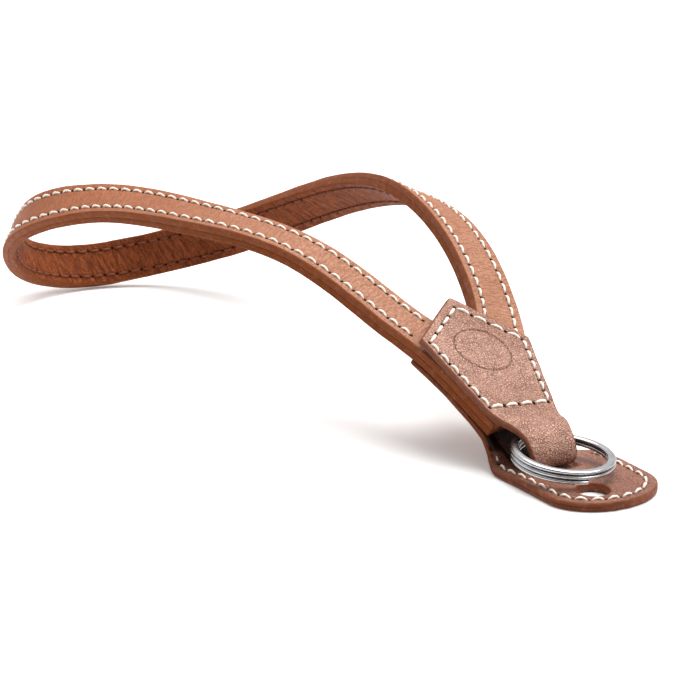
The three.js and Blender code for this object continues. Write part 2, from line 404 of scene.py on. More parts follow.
@dataclass
class Leather:
    """A cut piece of leather with rounded edges, built as one closed skin."""

    sections: Sections
    rim: Rim = Rim.SHAPED
    roundness: float = 0.3
    under_roundness: float = 0.4
    bulge: float = 0.05
    seam: float = 0.0
    spacing: float = 0.3
    under_spacing: float = 0.6
    fine_lines: tuple[float, ...] = ()
    fine_reach: float = 0.6
    fine_spacing: float = 0.15

    EDGE_COLUMNS = (0.0, 0.04, 0.1, 0.18, 0.28, 0.42, 0.6)
    WALL_ROWS = (0.2, 0.4, 0.5, 0.6, 0.8)
    SEAM_WIDTH = 0.06
    EDGE_DYE = (0.5, 0.05)

    def shares(self, spacing: float, lines: tuple[float, ...]) -> Array:
        """Shares of the way across between the edge columns.

        Args:
            spacing: Millimetres between columns.
            lines: Places across that have columns closer together beside them.

        Returns:
            The shares, from 0 to 1 without its ends.
        """
        half = float((self.sections.left + self.sections.right).max()) / 2 - self.EDGE_COLUMNS[-1]
        sample = np.linspace(-half, half, 801)
        near = sum(np.abs(sample - line) < self.fine_reach for line in lines) + np.zeros(len(sample))
        density = np.where(near > 0, 1.0 / self.fine_spacing, 1.0 / spacing)
        total = np.concatenate([[0.0], np.cumsum((density[1:] + density[:-1]) / 2 * np.diff(sample))])
        wanted = np.linspace(0.0, total[-1], max(int(total[-1]), 2) + 1)[1:-1]
        return np.interp(wanted, total, np.linspace(0.0, 1.0, len(sample)))

    def face(self, spacing: float, lines: tuple[float, ...] = ()) -> Face:
        """Places over a face, closer together at its edges.

        Args:
            spacing: Millimetres between columns of places.
            lines: Places across that have columns closer together beside them.

        Returns:
            The places, one row to each section, from its left edge to its right.
        """
        s, edge = self.sections, np.array(self.EDGE_COLUMNS)
        width = (s.left + s.right)[:, None]
        margin = np.minimum(1.0, width / (4 * edge[-1])) * edge
        middle = margin[:, -1:] + self.shares(spacing, lines) * (width - 2 * margin[:, -1:])
        x = np.concatenate([margin, middle, width - margin[:, ::-1]], axis=1) - s.left[:, None]
        along = np.broadcast_to(s.along[:, None], x.shape)
        if self.rim is Rim.PARALLEL:
            return Face(x, along, np.minimum(x + s.left[:, None], s.right[:, None] - x))
        left, right = np.stack([-s.left, s.along], axis=1), np.stack([s.right, s.along], axis=1)
        loop = np.concatenate([left, right[::-1], left[:1]])[::2]
        return Face(x, along, distance_to_path(x, along, np.concatenate([loop, loop[:1]])))

    def wall(self, start: Array, end: Array, side: Array, outwards: int) -> tuple[Array, Array]:
        """The wall along one edge.

        Args:
            start: Height of the face that the wall leaves, at the edge.
            end: Height of the face that it reaches.
            side: Place of the edge across each section.
            outwards: 1 for the right edge and -1 for the left.

        Returns:
            Places across and heights, one row to each section.
        """
        rows = np.array(self.WALL_ROWS)
        swell = self.bulge * np.sin(np.pi * rows) - self.seam * bell(rows - 0.5, self.SEAM_WIDTH)
        return side[:, None] + outwards * swell, start[:, None] * (1 - rows) + end[:, None] * rows

    def build(self, name: str, place: StrapFrame, outer: Relief, painted_shade_and_line: Relief, lift: Relief = no_relief) -> Object:
        """Makes the leather's mesh.

        Args:
            name: The piece's name.
            place: Turns the strap's millimetres into the row's metres.
            outer: The relief of its outer face.
            painted_shade_and_line: Painted shade in stitch holes, on the leg in the fold and behind the ring, and the
                darkened pressed line, from 0 to 1.
            lift: What raises both faces.

        Returns:
            The object, at the row's origin.
        """
        s = self.sections
        face, under = self.face(self.spacing, self.fine_lines), self.face(self.under_spacing)
        top = s.high[:, None] - rounded(face.inset, self.roundness) + outer(face) + lift(face)
        low = s.low[:, None] + rounded(under.inset, self.under_roundness) + lift(under)
        right = self.wall(top[:, -1], low[:, -1], face.x[:, -1], 1)
        left = self.wall(low[:, 0], top[:, 0], face.x[:, 0], -1)
        across = np.concatenate([face.x, right[0], under.x[:, ::-1], left[0]], axis=1)
        rise = np.concatenate([top, right[1], low[:, ::-1], left[1]], axis=1)
        points = s.point[:, None] + across[..., None] * s.across[:, None] + rise[..., None] * s.up[:, None]
        ones, below, holes = np.ones_like(right[0]), np.zeros_like(under.x), painted_shade_and_line(face)
        edge, under_edge = (smoothstep(*self.EDGE_DYE, inset) for inset in (face.inset, under.inset[:, ::-1]))
        # Painted shade: the walls take the shade at the face's edges and the underside takes the least shade across
        # each row, so the leg in the fold is dark all round.
        dark_across = below + holes.min(axis=1, keepdims=True)
        masks = {
            "rim": np.concatenate([edge, ones, under_edge, ones], axis=1),
            "under": np.concatenate([0 * top, 0 * ones, below + 1, 0 * ones], axis=1),
            "painted_shade_and_line": np.concatenate([holes, ones * holes[:, -1:], dark_across, ones * holes[:, :1]], axis=1),
        }
        return swept_object(name, place.row(points), uv_rings(across, rise, s), masks)


def rounded(inset: Array, radius: float) -> Array:
    """How far a rounded edge drops at places inside the outline."""
    inner = radius - np.minimum(inset, radius)
    return radius - np.sqrt(np.maximum(radius**2 - inner**2, 0.0))


def uv_rings(across: Array, rise: Array, s: Sections) -> Array:
    """Texture places round each section.

    Args:
        across: Places of its ring across it.
        rise: Their heights.
        s: The sections.

    Returns:
        The way round from the left edge, and the way along.
    """
    ring = np.stack([across, rise], axis=-1)
    steps = np.linalg.norm(np.diff(np.concatenate([ring, ring[:, :1]], axis=1), axis=1), axis=-1)
    way = np.concatenate([np.zeros((len(steps), 1)), np.cumsum(steps, axis=1)], axis=1) - s.left[:, None]
    return np.stack([way, np.broadcast_to(s.along[:, None], way.shape)], axis=-1) / UV_SPAN


# ---- meshes ----


def placed(name: str, data: bpy.types.ID) -> Object:
    """Puts a mesh, camera or light in the scene.

    Args:
        name: The object's name.
        data: What it shows.

    Returns:
        The object.
    """
    made = bpy.data.objects.new(name, data)
    bpy.context.scene.collection.objects.link(made)
    return made


def mesh_object(name: str, points: Array, faces: list[list[int]], masks: dict[str, Array]) -> Object:
    """A smooth-shaded mesh.

    Args:
        name: The object's name.
        points: Its points, in metres, with the coordinates on the last axis.
        faces: The numbers of each face's points.
        masks: Point attributes by name, each with one value to a point.

    Returns:
        The object.
    """
    mesh = bpy.data.meshes.new(name)
    mesh.from_pydata(points.reshape(-1, 3).tolist(), [], faces)
    for mask, values in masks.items():
        attribute = mesh.attributes.new(mask, "FLOAT", "POINT")
        attribute.data.foreach_set("value", values.astype(np.float32).ravel())
    mesh.shade_smooth()
    return placed(name, mesh)


def tube_faces(k: Array, j: Array, size: int) -> Array:
    """The four-sided faces between rings of points, one for each ring number k and place j round it."""
    beside = (j + 1) % size
    return np.stack([k * size + j, (k + 1) * size + j, (k + 1) * size + beside, k * size + beside], axis=-1)


def swept_object(name: str, rings: Array, uvs: Array, masks: dict[str, Array]) -> Object:
    """A closed mesh through rings of points.

    Args:
        name: The object's name.
        rings: Points as ring, place round the ring, coordinate, in metres.
        uvs: Texture places, with one more place round each ring than there are points.
        masks: Point attributes by name, each with one value to a point.

    Returns:
        The object.
    """
    count, size, _ = rings.shape
    k, j = np.meshgrid(np.arange(count - 1), np.arange(size), indexing="ij")
    quads = tube_faces(k, j, size).reshape(-1, 4)
    quad_uv = np.stack([uvs[k, j], uvs[k + 1, j], uvs[k + 1, j + 1], uvs[k, j + 1]], axis=-2).reshape(-1, 4, 2)
    caps = [np.arange(size), (count - 1) * size + np.arange(size)[::-1]]
    cap_uv = [uvs[0, :-1], uvs[-1, :-1][::-1]]
    a, b, c = rings.reshape(-1, 3)[quads[:, :3]].transpose(1, 0, 2)
    if (a * np.cross(b, c)).sum() < 0:
        quads, quad_uv = quads[:, ::-1], quad_uv[:, ::-1]
        caps, cap_uv = [cap[::-1] for cap in caps], [part[::-1] for part in cap_uv]
    made = mesh_object(name, rings, quads.tolist() + [cap.tolist() for cap in caps], masks)
    layer = made.data.uv_layers.new(name="UVMap")
    layer.data.foreach_set("uv", np.concatenate([quad_uv.reshape(-1, 2), *cap_uv]).ravel())
    return made


@dataclass
class Thread:
    """A row of hand-sewn stitches, each a short twisted cord between two holes."""

    radius: float
    hump: float = 0.2
    sink: float = 0.34
    sway: float = 0.06
    span: float = 0.74
    rings: int = 13
    sides: int = 12
    plies: int = 3
    ply_depth: float = 0.09
    twist: float = 2.2
    twist_length: float = 3.0
    thin_end: float = 0.62

    def build(self, name: str, place: StrapFrame, start: Array, end: Array, normal: Array) -> Object:
        """Makes the stitches' mesh.

        Args:
            name: The piece's name.
            place: Turns the strap's millimetres into the row's metres.
            start: The hole that each stitch comes out of.
            end: The hole that it goes into.
            normal: The way out of the leather at each stitch.

        Returns:
            One object that holds all the stitches.
        """
        a = np.linspace(0.0, 1.0, self.rings)
        arch = (np.sin(np.pi * a) ** 0.6)[:, None]
        margin = (1.0 - self.span) / 2
        start, end = start * (1 - margin) + end * margin, end * (1 - margin) + start * margin
        run = end - start
        side = unit(np.cross(run, normal))
        out = unit(np.cross(side, run))
        lift = (self.hump + self.sink) * arch - self.sink
        middle = start[:, None] + run[:, None] * a[:, None]
        middle = middle + out[:, None] * lift + side[:, None] * (self.sway * arch)
        tangent = unit(np.gradient(middle, axis=1))
        level = unit(np.cross(tangent, out[:, None]))
        raised = np.cross(level, tangent)
        turn = np.linspace(0.0, 2 * np.pi, self.sides, endpoint=False)
        phase = self.twist * np.pi * a * np.linalg.norm(run, axis=1)[:, None] / self.twist_length
        ply = 1.0 + self.ply_depth * np.cos(self.plies * (turn - phase[..., None]))
        radius = self.radius * (self.thin_end + (1.0 - self.thin_end) * arch) * ply
        spokes = level[:, :, None] * np.cos(turn)[:, None] + raised[:, :, None] * np.sin(turn)[:, None]
        cords = middle[:, :, None] + spokes * radius[..., None]
        k, j = np.meshgrid(np.arange(self.rings - 1), np.arange(self.sides), indexing="ij")
        quads = np.roll(tube_faces(k, j, self.sides).reshape(-1, 4)[:, ::-1], 1, axis=1)
        caps = np.arange(self.sides)[::-1], (self.rings - 1) * self.sides + np.arange(self.sides)
        one = [*quads, *caps]
        faces = [(base + face).tolist() for base in self.rings * self.sides * np.arange(len(cords)) for face in one]
        way = np.broadcast_to(a[:, None], cords.shape[:3])
        return mesh_object(name, place.row(cords), faces, {"stitch_way": way})


# ---- shader node trees ----


class Tree:
    """Short ways to add and join nodes in one shader tree."""

    def __init__(self, tree: NodeTree) -> None:
        """Takes the tree to build in."""
        self.tree = tree

    def feed(self, socket: NodeSocket, value: object) -> None:
        """Links a socket into another, or sets its number or colour.

        Args:
            socket: The input.
            value: A socket, a number, a vector or a colour.
        """
        if isinstance(value, NodeSocket):
            self.tree.links.new(value, socket)
        else:
            socket.default_value = (*value, 1.0) if socket.type == "RGBA" else value

    def fill(self, node: Node, **inputs: object) -> Node:
        """Feeds a node's inputs.

        Args:
            node: The node.
            **inputs: Values or sockets by name, with _ for a space.

        Returns:
            The node.
        """
        for key, value in inputs.items():
            self.feed(node.inputs[key.replace("_", " ")], value)
        return node

    def add(self, kind: str, settings: dict[str, object] | None = None, **inputs: object) -> Node:
        """Adds a node.

        Args:
            kind: The node's type, without its ShaderNode prefix.
            settings: Properties of the node.
            **inputs: Values or sockets for its inputs, by name with _ for a space.

        Returns:
            The node.
        """
        node = self.tree.nodes.new("ShaderNode" + kind)
        for key, value in (settings or {}).items():
            setattr(node, key, value)
        return self.fill(node, **inputs)

    def operate(self, kind: str, operation: str, *values: object) -> NodeSocket:
        """The result of a Math or VectorMath node.

        Args:
            kind: Which of the two.
            operation: What it does.
            *values: Values or sockets for its inputs, in order.

        Returns:
            Its result.
        """
        node = self.add(kind, {"operation": operation})
        for socket, value in zip(node.inputs, values):
            self.feed(socket, value)
        return node.outputs[0]

    def math(self, operation: str, *values: object) -> NodeSocket:
        """The result of a Math node."""
        return self.operate("Math", operation, *values)

    def ramp(self, value: object, low: float, high: float, start: float = 0.0, end: float = 1.0) -> NodeSocket:
        """A value eased from start to end as it passes from low to high."""
        limits = {"From Min": low, "From Max": high, "To Min": start, "To Max": end}
        return self.add("MapRange", {"interpolation_type": "SMOOTHSTEP"}, Value=value, **limits).outputs[0]

    def mix(self, factor: object, first: object, second: object, blend: str = "MIX") -> NodeSocket:
        """Two colours mixed.

        Args:
            factor: How much of the second.
            first: One colour.
            second: The other.
            blend: How they are mixed.

        Returns:
            The colour.
        """
        node = self.add("Mix", {"data_type": "RGBA", "blend_type": blend})
        for number, value in ((0, factor), (6, first), (7, second)):
            self.feed(node.inputs[number], value)
        return node.outputs[2]

    def noise(self, vector: object, scale: float, detail: float = 3.0, rough: float = 0.5) -> NodeSocket:
        """A noise texture's value."""
        return self.add("TexNoise", Vector=vector, Scale=scale, Detail=detail, Roughness=rough).outputs["Fac"]

    def attribute(self, name: str) -> NodeSocket:
        """A point attribute's value."""
        return self.add("Attribute", {"attribute_name": name}).outputs["Fac"]

    def coordinate(self, output: str, scale: float) -> NodeSocket:
        """A texture coordinate, scaled."""
        place = self.add("TexCoord").outputs[output]
        return self.add("VectorMath", {"operation": "SCALE"}, Vector=place, Scale=scale).outputs[0]

    def millimetres(self) -> NodeSocket:
        """The place on the object, in millimetres."""
        return self.coordinate("Object", 1.0 / MM)

    def leather_way(self) -> NodeSocket:
        """The place across and along a leather or a wire, in millimetres."""
        return self.coordinate("UV", UV_SPAN)

    def stretched(self, vector: object, x: float, y: float, z: float = 1.0) -> NodeSocket:
        """A place with its coordinates scaled one by one."""
        return self.operate("VectorMath", "MULTIPLY", vector, (x, y, z))


class Surface(Tree):
    """The tree of a new material."""

    def __init__(self, name: str) -> None:
        """Makes the material.

        Args:
            name: Its name.
        """
        self.material = bpy.data.materials.new(name)
        self.material.use_nodes = True
        super().__init__(self.material.node_tree)

    def dress(self, **inputs: object) -> Material:
        """Feeds the shader's inputs, by name with _ for a space, and returns the material."""
        self.fill(self.tree.nodes["Principled BSDF"], **inputs)
        return self.material

    def relief(self, height: NodeSocket, strength: float, distance: float) -> NodeSocket:
        """The normals of a relief, its distance in millimetres."""
        return self.add("Bump", Height=height, Strength=strength, Distance=distance * MM).outputs["Normal"]


class Effects:
    """The surface effects that several materials share, each a node group."""

    def __init__(self) -> None:
        """Builds the groups."""
        self.grain = self.make_grain()
        self.tone = self.make_tone()
        self.wear = self.make_wear()

    @staticmethod
    def start(name: str, inputs: dict[str, str], outputs: dict[str, str]) -> tuple[Tree, dict[str, NodeSocket], Node]:
        """Opens a group with named sockets.

        Args:
            name: The group's name.
            inputs: Socket types by input name.
            outputs: Socket types by output name.

        Returns:
            Its tree, its inputs by name, and the node that takes its outputs.
        """
        group = bpy.data.node_groups.new(name, "ShaderNodeTree")
        for way, sockets in (("INPUT", inputs), ("OUTPUT", outputs)):
            for label, kind in sockets.items():
                group.interface.new_socket(name=label, in_out=way, socket_type="NodeSocket" + kind)
        given = group.nodes.new("NodeGroupInput").outputs
        return Tree(group), {label: given[label] for label in inputs}, group.nodes.new("NodeGroupOutput")

    def make_grain(self) -> NodeTree:
        """Leather's pebbles and pores, as a height and a mask of the valleys between pebbles.

        Returns:
            The group.
        """
        inputs = {"Place": "Vector", "Pebbles per mm": "Float", "Pebble Depth": "Float", "Pore Depth": "Float"}
        tree, given, made = self.start("leather_grain", inputs, {"Height": "Float", "Valley": "Float"})
        place = given["Place"]
        warp = tree.add("TexNoise", Vector=place, Scale=0.9, Detail=2.0).outputs["Color"]
        bent = tree.operate("VectorMath", "MULTIPLY_ADD", warp, (0.9, 0.9, 0.9), place)
        density = given["Pebbles per mm"]
        cells = tree.add("TexVoronoi", {"feature": "DISTANCE_TO_EDGE"}, Vector=bent, Randomness=1.0, Scale=density)
        valley = tree.ramp(cells.outputs["Distance"], 0.0, 0.2, 1.0, 0.0)
        patchy = tree.ramp(tree.noise(place, 0.45, 2.0), 0.35, 0.65, 0.65, 1.0)
        valley = tree.math("MULTIPLY", valley, patchy)
        pores = tree.ramp(tree.noise(place, 5.5, 2.0, 0.6), 0.5, 0.68)
        pebbles = tree.math("MULTIPLY", valley, given["Pebble Depth"])
        pits = tree.math("MULTIPLY", pores, given["Pore Depth"])
        height = tree.math("SUBTRACT", 1.0, tree.math("ADD", pebbles, pits))
        tree.fill(made, Height=height, Valley=valley)
        return tree.tree

    def make_tone(self) -> NodeTree:
        """A leather's colour, cloudy over centimetres and flecked over tenths of a millimetre.

        Returns:
            The group.
        """
        colours = {"Light": "Color", "Middle": "Color", "Dark": "Color"}
        inputs = {"Place": "Vector", **colours, "Mottle": "Float", "Fleck": "Float"}
        tree, given, made = self.start("leather_tone", inputs, {"Color": "Color"})
        place, dark = given["Place"], given["Dark"]
        broad = tree.ramp(tree.noise(place, 0.07, 3.0, 0.55), 0.36, 0.64)
        cloud = tree.mix(broad, given["Middle"], given["Light"])
        patch = tree.ramp(tree.noise(place, 0.5, 4.0, 0.6), 0.48, 0.74)
        mottled = tree.mix(tree.math("MULTIPLY", patch, given["Mottle"]), cloud, dark)
        fleck = tree.ramp(tree.noise(place, 2.4, 3.0, 0.7), 0.5, 0.66)
        tree.fill(made, Color=tree.mix(tree.math("MULTIPLY", fleck, given["Fleck"]), mottled, dark))
        return tree.tree

    def make_wear(self) -> NodeTree:
        """The mask of a dyed and rubbed edge, uneven where the paint ends.

        Returns:
            The group.
        """
        inputs = {"Place": "Vector", "Rim": "Float", "Spread": "Float"}
        tree, given, made = self.start("edge_wear", inputs, {"Mask": "Float", "Rub": "Float"})
        ragged = tree.math("MULTIPLY_ADD", tree.noise(given["Place"], 1.6, 4.0, 0.6), 0.5, -0.25)
        edge = tree.math("ADD", tree.math("ADD", given["Rim"], ragged), given["Spread"])
        rub = tree.noise(tree.stretched(given["Place"], 0.7, 0.7, 0.7), 1.0, 5.0, 0.65)
        tree.fill(made, Mask=tree.ramp(edge, 0.45, 0.85), Rub=tree.ramp(rub, 0.5, 0.72))
        return tree.tree


# ---- finishes ----


@dataclass(frozen=True)
class LeatherFinish:
    """One leather's colours, grain and gloss."""

    name: str
    light: Colour
    middle: Colour
    dark: Colour
    under: Colour
    edge: Colour = (0.27, 0.062, 0.010)
    edge_rub: Colour = (0.34, 0.11, 0.045)
    # Near-black colour of the painted shade in holes, in the fold and behind the ring; the pressed line is darkened
    # with it too.
    hole: Colour = (0.045, 0.013, 0.005)
    mottle: float = 0.3
    fleck: float = 0.6
    pebbles: float = 2.0
    pebble_depth: float = 0.8
    pore_depth: float = 0.4
    valley_shade: float = 0.4
    crease_depth: float = 0.0
    crease_scale: tuple[float, float] = (0.5, 1.9)
    crease_slant: float = 0.35
    crease_shade: float = 0.7
    roughness: float = 0.5
    edge_roughness: float = 0.55
    edge_spread: float = 0.0
    specular: float = 0.32
    bump: float = 0.16
    # Painted shade: the leather is made darker and warmer further back along y.
    far_shade_tint: Colour | None = None
    far_from: float = -50.0
    far_to: float = 55.0

    def material(self, effects: Effects) -> Material:
        """Builds the leather's material.

        Args:
            effects: The shared effects.

        Returns:
            The material.
        """
        tree = Surface(self.name)
        place, way = tree.millimetres(), tree.leather_way()
        tones = {"Light": self.light, "Middle": self.middle, "Dark": self.dark}
        pebbles = {"Pebbles per mm": self.pebbles, "Pebble Depth": self.pebble_depth, "Pore Depth": self.pore_depth}
        tone, grain, wear = (
            tree.add("Group", {"node_tree": group}, Place=place, **values).outputs
            for group, values in (
                (effects.tone, {**tones, "Mottle": self.mottle, "Fleck": self.fleck}),
                (effects.grain, pebbles),
                (effects.wear, {"Rim": tree.attribute("rim"), "Spread": self.edge_spread}),
            )
        )
        colour, height, dyed = tone["Color"], grain["Height"], wear["Mask"]
        # Painted shade: colour multiplied towards the tint as the place lies further back.
        if self.far_shade_tint is not None:
            away = tree.add("SeparateXYZ", Vector=place).outputs["Y"]
            tinted = tree.mix(1.0, colour, self.far_shade_tint, "MULTIPLY")
            colour = tree.mix(tree.ramp(away, self.far_from, self.far_to), colour, tinted)
        colour = tree.mix(tree.math("MULTIPLY", grain["Valley"], self.valley_shade), colour, self.dark)
        if self.crease_depth:
            turned = (0.0, 0.0, self.crease_slant)
            slanted = tree.add("Mapping", {"vector_type": "TEXTURE"}, Vector=way, Rotation=turned).outputs[0]
            creases = tree.noise(tree.stretched(slanted, *self.crease_scale), 1.0, 4.0, 0.6)
            height = tree.math("MULTIPLY_ADD", tree.ramp(creases, 0.42, 0.6), self.crease_depth, height)
            colour = tree.mix(tree.ramp(creases, 0.52, 0.38, 0.0, self.crease_shade), colour, self.dark)
        colour = tree.mix(tree.attribute("under"), colour, self.under)
        colour = tree.mix(dyed, colour, tree.mix(wear["Rub"], self.edge, self.edge_rub))
        # Painted shade: holes, the leg in the fold and the flap behind the ring are mixed towards the near-black
        # colour, as is the pressed line.
        colour = tree.mix(tree.ramp(tree.attribute("painted_shade_and_line"), 0.25, 0.75), colour, self.hole)
        uneven = tree.ramp(tree.noise(place, 0.6, 3.0), 0.3, 0.7, -0.06, 0.06)
        rough = tree.math("ADD", uneven, self.roughness)
        rough = tree.math("MULTIPLY_ADD", dyed, self.edge_roughness - self.roughness, rough)
        fibres = tree.ramp(tree.noise(tree.stretched(way, 5.0, 0.4), 1.0, 5.0, 0.7), 0.3, 0.7, 0.0, 1.4)
        height = tree.add("Mix", {"data_type": "FLOAT"}, Factor=dyed, A=height, B=fibres).outputs["Result"]
        normal = tree.relief(height, 1.0, self.bump)
        return tree.dress(Base_Color=colour, Roughness=rough, Normal=normal, Specular_IOR_Level=self.specular)


@dataclass(frozen=True)
class ThreadFinish:
    """Waxed thread, with painted shade where it enters its holes."""

    name: str
    light: Colour
    dark: Colour
    sheen: float
    roughness: float = 0.55
    specular: float = 0.3

    def material(self) -> Material:
        """Builds the thread's material.

        Returns:
            The material.
        """
        tree = Surface(self.name)
        fibre = tree.noise(tree.millimetres(), 4.0, 4.0, 0.7)
        off_middle = tree.math("ABSOLUTE", tree.math("SUBTRACT", tree.attribute("stitch_way"), 0.5))
        # Painted shade at the stitch ends where the thread dives into its holes, with the thread's own uneven fibre
        # tone.
        ends = tree.ramp(off_middle, 0.3, 0.5, 0.0, 0.6)
        hole_shade_and_fibre = tree.math("MAXIMUM", ends, tree.ramp(fibre, 0.5, 0.75, 0.0, 0.5))
        return tree.dress(
            Base_Color=tree.mix(hole_shade_and_fibre, self.light, self.dark),
            Roughness=tree.ramp(fibre, 0.2, 0.8, self.roughness - 0.1, self.roughness + 0.1),
            Normal=tree.relief(fibre, 0.6, 0.05),
            Sheen_Weight=self.sheen,
            Specular_IOR_Level=self.specular,
        )


@dataclass(frozen=True)
class SteelFinish:
    """Polished ring steel with fine marks drawn along the wire."""

    name: str = "polished_ring_steel"
    light: Colour = (0.46, 0.46, 0.47)
    dark: Colour = (0.27, 0.27, 0.285)
    roughness: float = 0.2

    def material(self) -> Material:
        """Builds the steel's material.

        Returns:
            The material.
        """
        tree = Surface(self.name)
        drawn = tree.noise(tree.stretched(tree.leather_way(), 14.0, 0.35), 1.0, 5.0, 0.7)
        cloud = tree.ramp(tree.noise(tree.millimetres(), 0.5, 3.0), 0.4, 0.7, 0.0, 0.5)
        return tree.dress(
            Base_Color=tree.mix(cloud, self.light, self.dark),
            Roughness=tree.math("ADD", tree.ramp(drawn, 0.3, 0.7, -0.06, 0.08), self.roughness),
            Normal=tree.relief(drawn, 0.35, 0.01),
            Metallic=1.0,
        )


FACE_FINISH = LeatherFinish(
    name="face_tan_leather",
    light=(0.515, 0.262, 0.168),
    middle=(0.46, 0.222, 0.132),
    dark=(0.25, 0.09, 0.042),
    under=(0.28, 0.10, 0.045),
    mottle=0.25,
    fleck=0.4,
    pebbles=1.6,
    pebble_depth=0.5,
    valley_shade=0.55,
    crease_depth=0.8,
    specular=0.2,
    bump=0.12,
    # Painted shade: the band's far loops are darker and more saturated.
    far_shade_tint=(0.84, 0.47, 0.19),
)
LINING_FINISH = LeatherFinish(
    name="lining_brown_leather",
    light=(0.31, 0.078, 0.022),
    middle=(0.25, 0.058, 0.014),
    dark=(0.10, 0.020, 0.005),
    under=(0.20, 0.06, 0.02),
    fleck=0.45,
    pebbles=1.2,
    pebble_depth=0.5,
    crease_depth=1.6,
    crease_scale=(0.28, 1.15),
    crease_shade=0.8,
    roughness=0.55,
    specular=0.12,
)
PATCH_FINISH = LeatherFinish(
    name="patch_pebbled_leather",
    light=(0.60, 0.33, 0.24),
    middle=(0.50, 0.25, 0.168),
    dark=(0.15, 0.048, 0.026),
    # Painted shade: the patch's underside lies inside the fold and is painted near black.
    under=(0.05, 0.016, 0.008),
    edge=(0.27, 0.062, 0.012),
    edge_rub=(0.34, 0.11, 0.048),
    mottle=0.12,
    valley_shade=0.8,
    roughness=0.38,
    edge_spread=0.2,
    specular=0.5,
    bump=0.2,
)
FLAP_FINISH = LeatherFinish(
    name="flap_red_tan_leather",
    light=(0.37, 0.158, 0.10),
    middle=(0.31, 0.118, 0.068),
    dark=(0.10, 0.028, 0.014),
    under=(0.34, 0.15, 0.085),
    edge=(0.25, 0.056, 0.012),
    edge_rub=(0.38, 0.12, 0.045),
    mottle=0.15,
    valley_shade=0.75,
    roughness=0.43,
)
CREAM_THREAD = ThreadFinish("cream_waxed_thread", (0.92, 0.86, 0.77), (0.50, 0.34, 0.22), sheen=0.2)
BROWN_THREAD = ThreadFinish("brown_waxed_thread", (0.15, 0.036, 0.010), (0.07, 0.016, 0.005), sheen=0.0)


# ---- the band ----


